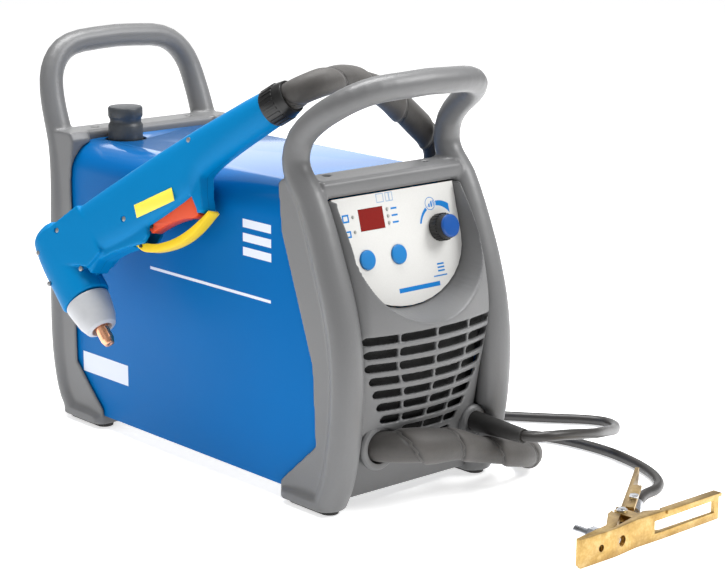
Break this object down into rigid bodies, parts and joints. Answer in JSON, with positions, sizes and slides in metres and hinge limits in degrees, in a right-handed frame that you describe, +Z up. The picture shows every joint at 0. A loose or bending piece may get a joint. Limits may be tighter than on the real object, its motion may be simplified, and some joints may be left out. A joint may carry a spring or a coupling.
{
  "type": "plasma cutter unit",
  "caption": "Portable inverter plasma cutter with a blue sheet-metal cover between two tubular grey end frames, a hand torch laid over its top on a sleeved lead, and an earth cable with clamp.",
  "frame": {"origin": "on the floor under the middle of the case", "axes": "+Z up, front with the control panel towards -Y, +X to the right hand side as seen from the front"},
  "size_m": [0.5994, 0.8175, 0.3785],
  "materials": {
    "cover_blue": "semi-gloss powder coat",
    "zinc_sheet": "zinc plated",
    "grey_moulding": "fine satin texture",
    "rubber_black": "matte",
    "screw_steel": "plain",
    "panel_white": "satin film",
    "display_red": "tinted window",
    "lens_clear": "clear lenses",
    "board_green": "solder mask",
    "knob_black": "satin",
    "cap_blue": "gloss",
    "button_blue": "satin",
    "cord_black": "satin sheath",
    "sleeve_cloth": "wrapped protective sleeve",
    "torch_blue": "satin",
    "label_yellow": "printed film",
    "trigger_red": "satin",
    "guard_yellow": "satin",
    "head_insulator": "moulded resin",
    "cup_grey": "ceramic-filled",
    "copper": "turned copper",
    "clamp_brass": "yellow passivated sheet",
    "spring_steel": "dark oxide",
    "plated_steel": "zinc plated",
    "reg_grey": "satin",
    "alloy": "extruded",
    "brass_fitting": "machined",
    "hose_blue": "flexible tube",
    "fan_black": "moulded",
    "wire_steel": "plated wire",
    "switch_red": "gloss",
    "cap_navy": "sleeve",
    "core_dark": "ferrite",
    "winding": "enamelled copper"
  },
  "bodies": {
    "power_source": {"cover": "cover_blue", "base_tray": "zinc_sheet", "front_frame": "grey_moulding", "front_fascia": "grey_moulding", "rear_frame": "grey_moulding", "rear_panel": "zinc_sheet", "rubber_feet": "rubber_black", "frame_screws": "screw_steel", "control_panel": "panel_white", "display_window": "display_red", "indicator_lights": "lens_clear", "control_board": "board_green", "potentiometer": "plated_steel", "torch_port": "grey_moulding", "earth_gland": "grey_moulding", "earth_sleeve": "rubber_black", "earth_cable": "cord_black", "earth_coil": "cord_black", "earth_cable_end": "cord_black", "clamp_fixed_jaw": "clamp_brass", "clamp_spring": "spring_steel", "clamp_lug_bolt": "plated_steel", "torch_lead": "sleeve_cloth", "torch_lead_coil": "sleeve_cloth", "torch_lead_end": "sleeve_cloth", "torch_shell_left": "torch_blue", "torch_shell_right": "torch_blue", "torch_screws": "screw_steel", "torch_label": "label_yellow", "torch_collar": "knob_black", "torch_head": "head_insulator", "electrode": "copper", "cutting_tip": "copper", "shield_cup": "cup_grey", "trigger_switch": "fan_black", "regulator": "alloy", "solenoid_valve": "fan_black", "air_hose": "hose_blue", "air_inlet": "brass_fitting", "fan_frame": "fan_black", "fan_guard": "wire_steel", "mains_switch": "fan_black", "mains_gland": "rubber_black", "heat_sink": "alloy", "power_board": "board_green", "capacitors": "cap_navy", "transformer": "core_dark", "output_choke": "winding"},
    "current_knob_assembly": {"current_knob": "knob_black", "current_knob_cap": "cap_blue"},
    "mode_button": {"mode_button": "button_blue"},
    "gas_button": {"gas_button": "button_blue"},
    "torch_trigger": {"torch_trigger": "trigger_red"},
    "torch_guard": {"torch_guard": "guard_yellow"},
    "clamp_moving_jaw": {"clamp_moving_jaw": "clamp_brass", "clamp_pin": "plated_steel"},
    "mains_switch_knob": {"mains_switch_knob": "switch_red"},
    "fan_rotor": {"fan_rotor": "fan_black"},
    "regulator_spindle": {"regulator_spindle": "plated_steel"},
    "regulator_knob": {"regulator_knob": "reg_grey"}
  },
  "joints": [
    {"name": "current_knob_turn", "type": "hinge", "parent": "power_source", "child": "current_knob_assembly", "pos_m": [0.045, -0.19302, 0.23111], "axis": [0, -0.9659, 0.2588], "range_deg": [-135, 135]},
    {"name": "mode_button_press", "type": "slide", "parent": "power_source", "child": "mode_button", "axis": [0, 0.9659, -0.2588], "range_m": [0, 0.0008], "stiffness_N_per_m": 1500, "springref_m": -0.0006},
    {"name": "gas_button_press", "type": "slide", "parent": "power_source", "child": "gas_button", "axis": [0, 0.9659, -0.2588], "range_m": [0, 0.0008], "stiffness_N_per_m": 1500, "springref_m": -0.0006},
    {"name": "torch_trigger_pull", "type": "hinge", "parent": "power_source", "child": "torch_trigger", "pos_m": [-0.12705, -0.01104, 0.22642], "axis": [-0.9573, -0.1856, 0.2215], "range_deg": [0, 6], "stiffness_Nm_per_rad": 0.5, "springref_deg": -6.88},
    {"name": "torch_guard_lift", "type": "hinge", "parent": "power_source", "child": "torch_guard", "pos_m": [-0.13293, -0.00275, 0.20794], "axis": [0.9573, 0.1856, -0.2215], "range_deg": [0, 40], "stiffness_Nm_per_rad": 0.06, "springref_deg": -20.05},
    {"name": "clamp_jaw_open", "type": "hinge", "parent": "power_source", "child": "clamp_moving_jaw", "pos_m": [0.058, -0.404, 0.0115], "axis": [0, 0, 1], "range_deg": [0, 20], "stiffness_Nm_per_rad": 2.3, "springref_deg": -29.79},
    {"name": "mains_switch_turn", "type": "hinge", "parent": "power_source", "child": "mains_switch_knob", "pos_m": [0.045, 0.1658, 0.215], "axis": [0, 1, 0], "range_deg": [0, 60]},
    {"name": "fan_spin", "type": "hinge", "parent": "power_source", "child": "fan_rotor", "pos_m": [0.02, 0.15, 0.09], "axis": [0, 1, 0], "continuous": true},
    {"name": "regulator_turn", "type": "hinge", "parent": "power_source", "child": "regulator_spindle", "pos_m": [-0.045, 0.151, 0.285], "axis": [0, 0, 1], "range_deg": [-540, 540]},
    {"name": "regulator_knob_pull", "type": "slide", "parent": "regulator_spindle", "child": "regulator_knob", "axis": [0, 0, 1], "range_m": [0, 0.003]}
  ]
}
